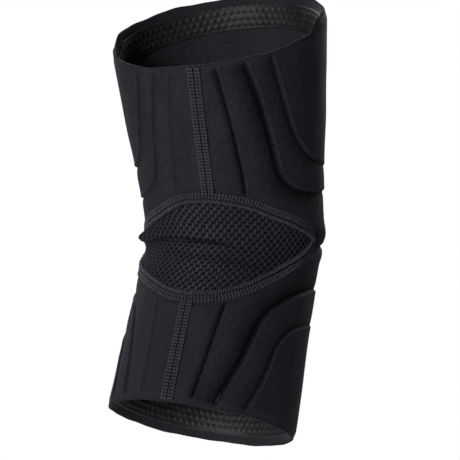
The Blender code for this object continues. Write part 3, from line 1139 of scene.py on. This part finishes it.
    def dress(self) -> None:
        piece = self.build()
        bend_with_knee(piece)
        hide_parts("popliteal_knit_panel")
        LOG.info("knit panel: %d faces", len(piece.data.polygons))


@dataclass(frozen=True)
class StitchRow:
    """One kind of stitch repeated along a seam.

    A stitch arches from offset minus half its span to offset plus half its span across the seam,
    and leans or runs along it.
    """

    offset: float
    span: float
    pitch: float
    lean: float
    rise: float
    radius: float


@dataclass
class FlatSeam:
    """A flat seam: a ribbed band with rows of stitches lying on it."""

    name: str
    form: LegForm
    path: Array
    node: str
    bands: tuple[tuple[float, float, float], ...]
    stitches: tuple[StitchRow, ...]
    lift: float = 0.0002
    step: float = 0.0009

    def frames(self, step: float) -> tuple[Array, Array, Array, Array, Array]:
        """Even stations along the path.

        Args:
            step: Distance between stations.

        Returns:
            Places, forward, sideways and outward directions, and the distance along.
        """
        s, angle = self.path[:, 0], self.path[:, 1]
        base = self.form.point(s, angle, self.lift)
        length = np.concatenate([[0.0], np.cumsum(np.linalg.norm(np.diff(base, axis=0), axis=1))])
        where = np.arange(0.0, length[-1], step)
        s, angle = np.interp(where, length, s), np.interp(where, length, angle)
        place = self.form.point(s, angle, self.lift)
        above = self.form.point(s + 0.0004, angle, self.lift) - place
        beside = self.form.point(s, angle + 0.3, self.lift) - place
        outward = np.cross(beside, above)
        outward /= np.linalg.norm(outward, axis=1, keepdims=True)
        forward = np.gradient(place, axis=0)
        forward /= np.linalg.norm(forward, axis=1, keepdims=True)
        sideways = np.cross(outward, forward)
        return place, forward, sideways, outward, where

    def build_band(self) -> tuple[Array, Array, Array]:
        """Shape the ribbed bands that the stitches lie on.

        Returns:
            Points, faces and cloth places.
        """
        place, _, sideways, outward, where = self.frames(self.step)
        points, faces, cloth, start = [], [], [], 0
        for offset, width, rise in self.bands:
            turns = np.linspace(0.0, math.pi, 11)
            across = offset - 0.5 * width * np.cos(turns)
            up = rise * np.sin(turns) ** 0.7 - 0.0004 * (np.cos(turns) ** 8)
            wobble = 1.0 + 0.10 * np.sin(where * 900.0) + 0.06 * np.sin(where * 2300.0 + 1.0)
            ring = (place[:, None, :] + sideways[:, None, :] * across[None, :, None]
                    + outward[:, None, :] * (up[None, :, None] * wobble[:, None, None]))
            points.append(ring.reshape(-1, 3))
            faces.append(grid_faces(len(place), len(turns), start))
            cloth.append(np.stack([np.broadcast_to(across, ring.shape[:2]).ravel(),
                                   np.broadcast_to(where[:, None], ring.shape[:2]).ravel()],
                                  axis=-1))
            start += ring.shape[0] * ring.shape[1]
        return np.concatenate(points), np.concatenate(faces), np.concatenate(cloth)

    def build_stitches(self, row: StitchRow, first: int) -> tuple[Array, Array, Array]:
        """Shape one row of stitches.

        Args:
            row: The kind of stitch.
            first: Number of the first point.

        Returns:
            Points, faces and cloth places.
        """
        place, forward, sideways, outward, where = self.frames(row.pitch)
        arc = np.linspace(0.0, math.pi, 7)
        sides = np.linspace(0.0, 2.0 * math.pi, 6)[:-1]
        uneven = 1.0 + 0.12 * np.sin(where * 3100.0 + 2.0)
        across = row.offset - 0.5 * row.span * np.cos(arc)
        run = -0.5 * row.lean * np.cos(arc)
        up = row.rise * np.sin(arc) - 0.0003 * np.cos(arc) ** 4
        centre = (place[:, None, :] + sideways[:, None, :] * across[None, :, None]
                  + forward[:, None, :] * run[None, :, None]
                  + outward[:, None, :] * (up[None, :, None] * uneven[:, None, None]))
        tangent = np.gradient(centre, axis=1)
        tangent /= np.linalg.norm(tangent, axis=2, keepdims=True)
        flat = np.cross(tangent, outward[:, None, :])
        flat /= np.maximum(np.linalg.norm(flat, axis=2, keepdims=True), 1e-9)
        rise = np.cross(flat, tangent)
        ring = (centre[:, :, None, :]
                + row.radius * (flat[:, :, None, :] * np.cos(sides)[None, None, :, None]
                                + rise[:, :, None, :] * np.sin(sides)[None, None, :, None]))
        block = grid_faces(len(arc), len(sides), wrap=True)
        starts = np.arange(len(place)) * len(arc) * len(sides)
        faces = block[None, :, :] + starts[:, None, None]
        cloth = np.stack([np.broadcast_to(sides * row.radius, ring.shape[:3]).ravel(),
                          np.broadcast_to((arc * 0.002)[None, :, None]
                                          + where[:, None, None], ring.shape[:3]).ravel()], axis=-1)
        return ring.reshape(-1, 3), faces.reshape(-1, 4) + first, cloth

    def build(self) -> bpy.types.Object:
        """Make the bands and all their stitches as one piece.

        Returns:
            The seam piece.
        """
        points, faces, cloth = self.build_band()
        kinds = np.zeros(len(faces), int)
        for row in self.stitches:
            more, more_faces, more_cloth = self.build_stitches(row, len(points))
            points = np.concatenate([points, more])
            faces = np.concatenate([faces, more_faces])
            cloth = np.concatenate([cloth, more_cloth])
            kinds = np.concatenate([kinds, np.ones(len(more_faces), int)])
        return make_piece(self.name, points, faces, cloth, (BAND, THREAD), kinds)

    def dress(self) -> None:
        """Build the seam and bake its transform."""
        piece = self.build()
        bend_with_knee(piece)
        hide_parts(self.node)
        LOG.info("%s: %d faces", self.name, len(piece.data.polygons))


@dataclass
class SeamSet:
    """The two back seams and the two seams round the knitted panel."""

    form: LegForm
    back_bands: tuple[tuple[float, float, float], ...] = (
        (-0.0021, 0.0038, 0.0007), (0.0021, 0.0038, 0.0007))
    back_stitches: tuple[StitchRow, ...] = (
        StitchRow(-0.0036, 0.0007, 0.0021, 0.0012, 0.0010, 0.00042),
        StitchRow(-0.0008, 0.0007, 0.0021, 0.0012, 0.0011, 0.00040),
        StitchRow(0.0008, 0.0007, 0.0021, 0.0012, 0.0011, 0.00040),
        StitchRow(0.0036, 0.0007, 0.0021, 0.0012, 0.0010, 0.00042),
        StitchRow(-0.0022, 0.0030, 0.0021, -0.0019, 0.0009, 0.00028),
        StitchRow(-0.0022, 0.0030, 0.0021, 0.0019, 0.0010, 0.00028),
        StitchRow(0.0022, 0.0030, 0.0021, -0.0019, 0.0009, 0.00028),
        StitchRow(0.0022, 0.0030, 0.0021, 0.0019, 0.0010, 0.00028))
    panel_bands: tuple[tuple[float, float, float], ...] = (
        (0.0030, 0.0044, 0.0006), (-0.0012, 0.0030, 0.0012))
    panel_stitches: tuple[StitchRow, ...] = (
        StitchRow(0.0046, 0.0007, 0.0021, 0.0012, 0.0009, 0.00042),
        StitchRow(0.0016, 0.0007, 0.0021, 0.0012, 0.0010, 0.00042),
        StitchRow(0.0031, 0.0030, 0.0021, 0.0019, 0.0008, 0.00028),
        StitchRow(0.0031, 0.0030, 0.0021, -0.0019, 0.0007, 0.00028),
        StitchRow(-0.0012, 0.0024, 0.0016, 0.0016, 0.0014, 0.00046))
    thigh_twist: float = 6.8
    calf_twist: float = -1.0
    back_start: float = 0.0048
    back_overrun: float = 0.0004
    back_lift: float = 0.0010

    def back_path(self, half: Half) -> Array:
        """The centre-back line on one half, from the knee outwards.

        Args:
            half: The half that the seam closes.

        Returns:
            Rows of (height, angle).
        """
        twist = self.thigh_twist if half is Half.THIGH else self.calf_twist
        way = float(half.value)
        hem = self.form.thigh_hem(twist) if half is Half.THIGH else self.form.calf_hem(twist)
        start = self.form.panel_edge(twist, half) + self.back_start * way
        s = np.linspace(start, hem + self.back_overrun * way, 60)
        return np.stack([s, twist + 0.0 * s], axis=-1)

    def panel_path(self, half: Half) -> Array:
        """The panel's edge on one half, run so that sideways points away from the panel.

        Args:
            half: The half that the seam joins to the panel.

        Returns:
            Rows of (height, angle).
        """
        beyond = 1.2 if half is Half.THIGH else -0.6
        angle = np.linspace(self.form.left_corner[1] - beyond, self.form.right_corner[1] + beyond,
                            300)
        if half is Half.CALF:
            angle = angle[::-1]
        s = self.form.panel_edge(angle, half)
        return np.stack([s, angle], axis=-1)

    def dress(self) -> None:
        """Build all four seams."""
        for half in Half:
            FlatSeam(f"{half.word}_back_seam", self.form, self.back_path(half),
                     f"{half.word}_back_seam_thread", self.back_bands, self.back_stitches,
                     lift=self.back_lift).dress()
            FlatSeam(f"{half.word}_panel_seam", self.form, self.panel_path(half),
                     f"{half.word}_panel_seam_thread", self.panel_bands,
                     self.panel_stitches).dress()


@dataclass
class GripBand:
    """Silicone grip ring inside one hem, with rows of raised dots."""

    form: LegForm
    half: Half
    width: float = 0.018
    inset: float = 0.005
    thickness: float = 0.0007
    dot_pitch: float = 0.0052
    dot_rise: float = 0.0006
    dot_spread: float = 0.11
    row_share: float = 0.87
    columns: int = 640
    rows: int = 34

    def build(self) -> bpy.types.Object:
        """Make the ring, facing into the sleeve.

        Returns:
            The ring piece.
        """
        way = float(self.half.value)
        hem = self.form.thigh_hem if self.half is Half.THIGH else self.form.calf_hem
        angle = np.linspace(0.0, 360.0, self.columns + 1)[:-1]
        edge = hem(angle) - way * self.inset
        points, cloth = [], []
        count = round(2.0 * math.pi * CLOTH_RADIUS / self.dot_pitch)
        for t in np.linspace(0.0, 1.0, self.rows):
            s = edge - way * self.width * t
            v = t * self.width / (self.dot_pitch * self.row_share)
            row = np.round(v)
            u = angle / 360.0 * count + 0.5 * (row % 2)
            du, dv = u - np.round(u), v - row
            dot = np.clip(1.0 - (du ** 2 + dv ** 2) / self.dot_spread, 0.0, 1.0) ** 0.5
            raised = self.dot_rise * dot * (0.05 < t < 0.95)
            gap = self.inset + self.width * t
            lie = -self.form.inside(gap) - self.thickness * (0.0 if t in (0.0, 1.0) else 1.0)
            points.append(self.form.point(s, angle, lie - raised))
            cloth.append(round_cloth(angle, s))
        faces = grid_faces(self.rows, self.columns, wrap=True)
        if self.half is Half.CALF:
            faces = faces[:, ::-1]
        return make_piece(f"{self.half.word}_grip_band", np.concatenate(points), faces,
                          np.concatenate(cloth), (RUBBER,))

    def dress(self) -> None:
        """Build the ring and bake its transform."""
        piece = self.build()
        bend_with_knee(piece)
        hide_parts(f"{self.half.word}_grip_strip")
        LOG.info("%s: %d faces", piece.name, len(piece.data.polygons))


@dataclass(frozen=True)
class Lamp:
    """One square soft light that faces the sleeve."""

    name: str
    azimuth: float
    elevation: float
    distance: float
    size: float
    power: float
    colour: Colour = (1.0, 1.0, 1.0)


@dataclass
class Studio:
    """Pale floor, soft light and the camera."""

    azimuth: float = 199.0
    elevation: float = 1.5
    roll: float = 2.0
    distance: float = 0.65
    lens: float = 70.3
    shift: tuple[float, float] = (-0.0065, -0.0028)
    floor_height: float = -0.50
    floor_radius: float = 1.0
    seen_white: float = 1.0
    fill_light: float = 0.05
    lamps: tuple[Lamp, ...] = (
        Lamp("key_light", 170.0, 7.0, 1.5, 0.45, 19.5, (1.0, 0.985, 0.97)),
        Lamp("front_left_light", 48.0, 32.0, 1.6, 1.0, 20.0),
        Lamp("front_right_light", 346.0, 32.0, 1.6, 0.8, 14.0, (1.0, 0.98, 0.98)),
        Lamp("rim_light", 300.0, 10.0, 1.4, 0.4, 0.8, (1.0, 0.45, 0.55)))

    def view_direction(self, azimuth: float, elevation: float) -> Vector:
        """Unit direction from the sleeve, azimuth 0 towards the front."""
        a, e = math.radians(azimuth), math.radians(elevation)
        return Vector((math.sin(a) * math.cos(e), -math.cos(a) * math.cos(e), math.sin(e)))

    def build_floor(self) -> None:
        """Round pale floor under the sleeve."""
        turns = np.linspace(0.0, 2.0 * math.pi, 97)[:-1]
        radii = np.linspace(0.05, self.floor_radius, 12)
        points = np.array([(r * math.cos(t), r * math.sin(t), self.floor_height)
                           for r in radii for t in turns])
        faces = grid_faces(len(radii), len(turns), wrap=True)[:, ::-1]
        floor = make_piece("studio_floor", points, faces, points[:, :2] * 0.1, (FLOOR,))
        work = bmesh.new()
        work.from_mesh(floor.data)
        work.verts.ensure_lookup_table()
        work.faces.new([work.verts[i] for i in range(len(turns))])
        work.to_mesh(floor.data)
        work.free()

    def hang_lamp(self, lamp: Lamp) -> None:
        """Add one light.

        Args:
            lamp: The light to add.
        """
        data = bpy.data.lights.new(lamp.name, "AREA")
        data.shape = "SQUARE"
        data.size = lamp.size
        data.energy = lamp.power
        data.color = lamp.colour
        light = bpy.data.objects.new(lamp.name, data)
        direction = self.view_direction(lamp.azimuth, lamp.elevation)
        light.location = direction * lamp.distance
        light.rotation_euler = direction.to_track_quat("Z", "Y").to_euler()
        bpy.context.scene.collection.objects.link(light)

    def build_world(self) -> None:
        """White surroundings that light the sleeve only gently."""
        world = bpy.data.worlds.new("studio_world")
        bpy.context.scene.world = world
        world.use_nodes = True
        tree = world.node_tree
        tree.nodes.clear()
        seen = tree.nodes.new("ShaderNodeBackground")
        seen.inputs["Color"].default_value = (1.0, 1.0, 1.0, 1.0)
        seen.inputs["Strength"].default_value = self.seen_white
        fill = tree.nodes.new("ShaderNodeBackground")
        fill.inputs["Color"].default_value = (0.92, 0.94, 1.0, 1.0)
        fill.inputs["Strength"].default_value = self.fill_light
        path = tree.nodes.new("ShaderNodeLightPath")
        mix = tree.nodes.new("ShaderNodeMixShader")
        end = tree.nodes.new("ShaderNodeOutputWorld")
        tree.links.new(path.outputs["Is Camera Ray"], mix.inputs["Fac"])
        tree.links.new(fill.outputs["Background"], mix.inputs[1])
        tree.links.new(seen.outputs["Background"], mix.inputs[2])
        tree.links.new(mix.outputs["Shader"], end.inputs["Surface"])

    def build_camera(self) -> None:
        """Camera behind the knee and a little to the wearer's right."""
        back = self.view_direction(self.azimuth, self.elevation)
        right = (-back).cross(Vector((0.0, 0.0, 1.0))).normalized()
        up = right.cross(-back)
        turn = math.radians(self.roll)
        x = math.cos(turn) * right + math.sin(turn) * up
        y = -math.sin(turn) * right + math.cos(turn) * up
        data = bpy.data.cameras.new("camera")
        data.lens = self.lens
        data.sensor_width = 36.0
        data.shift_x, data.shift_y = self.shift
        data.clip_start = 0.01
        camera = bpy.data.objects.new("camera", data)
        place = back * self.distance
        camera.matrix_world = Matrix((
            (x.x, y.x, back.x, place.x), (x.y, y.y, back.y, place.y),
            (x.z, y.z, back.z, place.z), (0.0, 0.0, 0.0, 1.0)))
        bpy.context.scene.collection.objects.link(camera)
        bpy.context.scene.camera = camera

    def build(self) -> None:
        """Set up everything round the sleeve."""
        self.build_floor()
        self.build_world()
        bpy.context.scene.view_settings.view_transform = "Standard"
        for lamp in self.lamps:
            self.hang_lamp(lamp)
        self.build_camera()
        LOG.info("studio: floor, %d lights and camera", len(self.lamps))


def main() -> None:
    """Build every piece in order."""
    logging.basicConfig(level=logging.INFO, format="%(name)s %(message)s")
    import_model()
    form = LegForm()
    pattern = PressedPattern(form)
    Studio().build()
    SleeveWall(form, pattern).dress()
    KnitPanel(form).dress()
    SeamSet(form).dress()
    for half in Half:
        GripBand(form, half).dress()


if __name__ == "__main__":
    main()
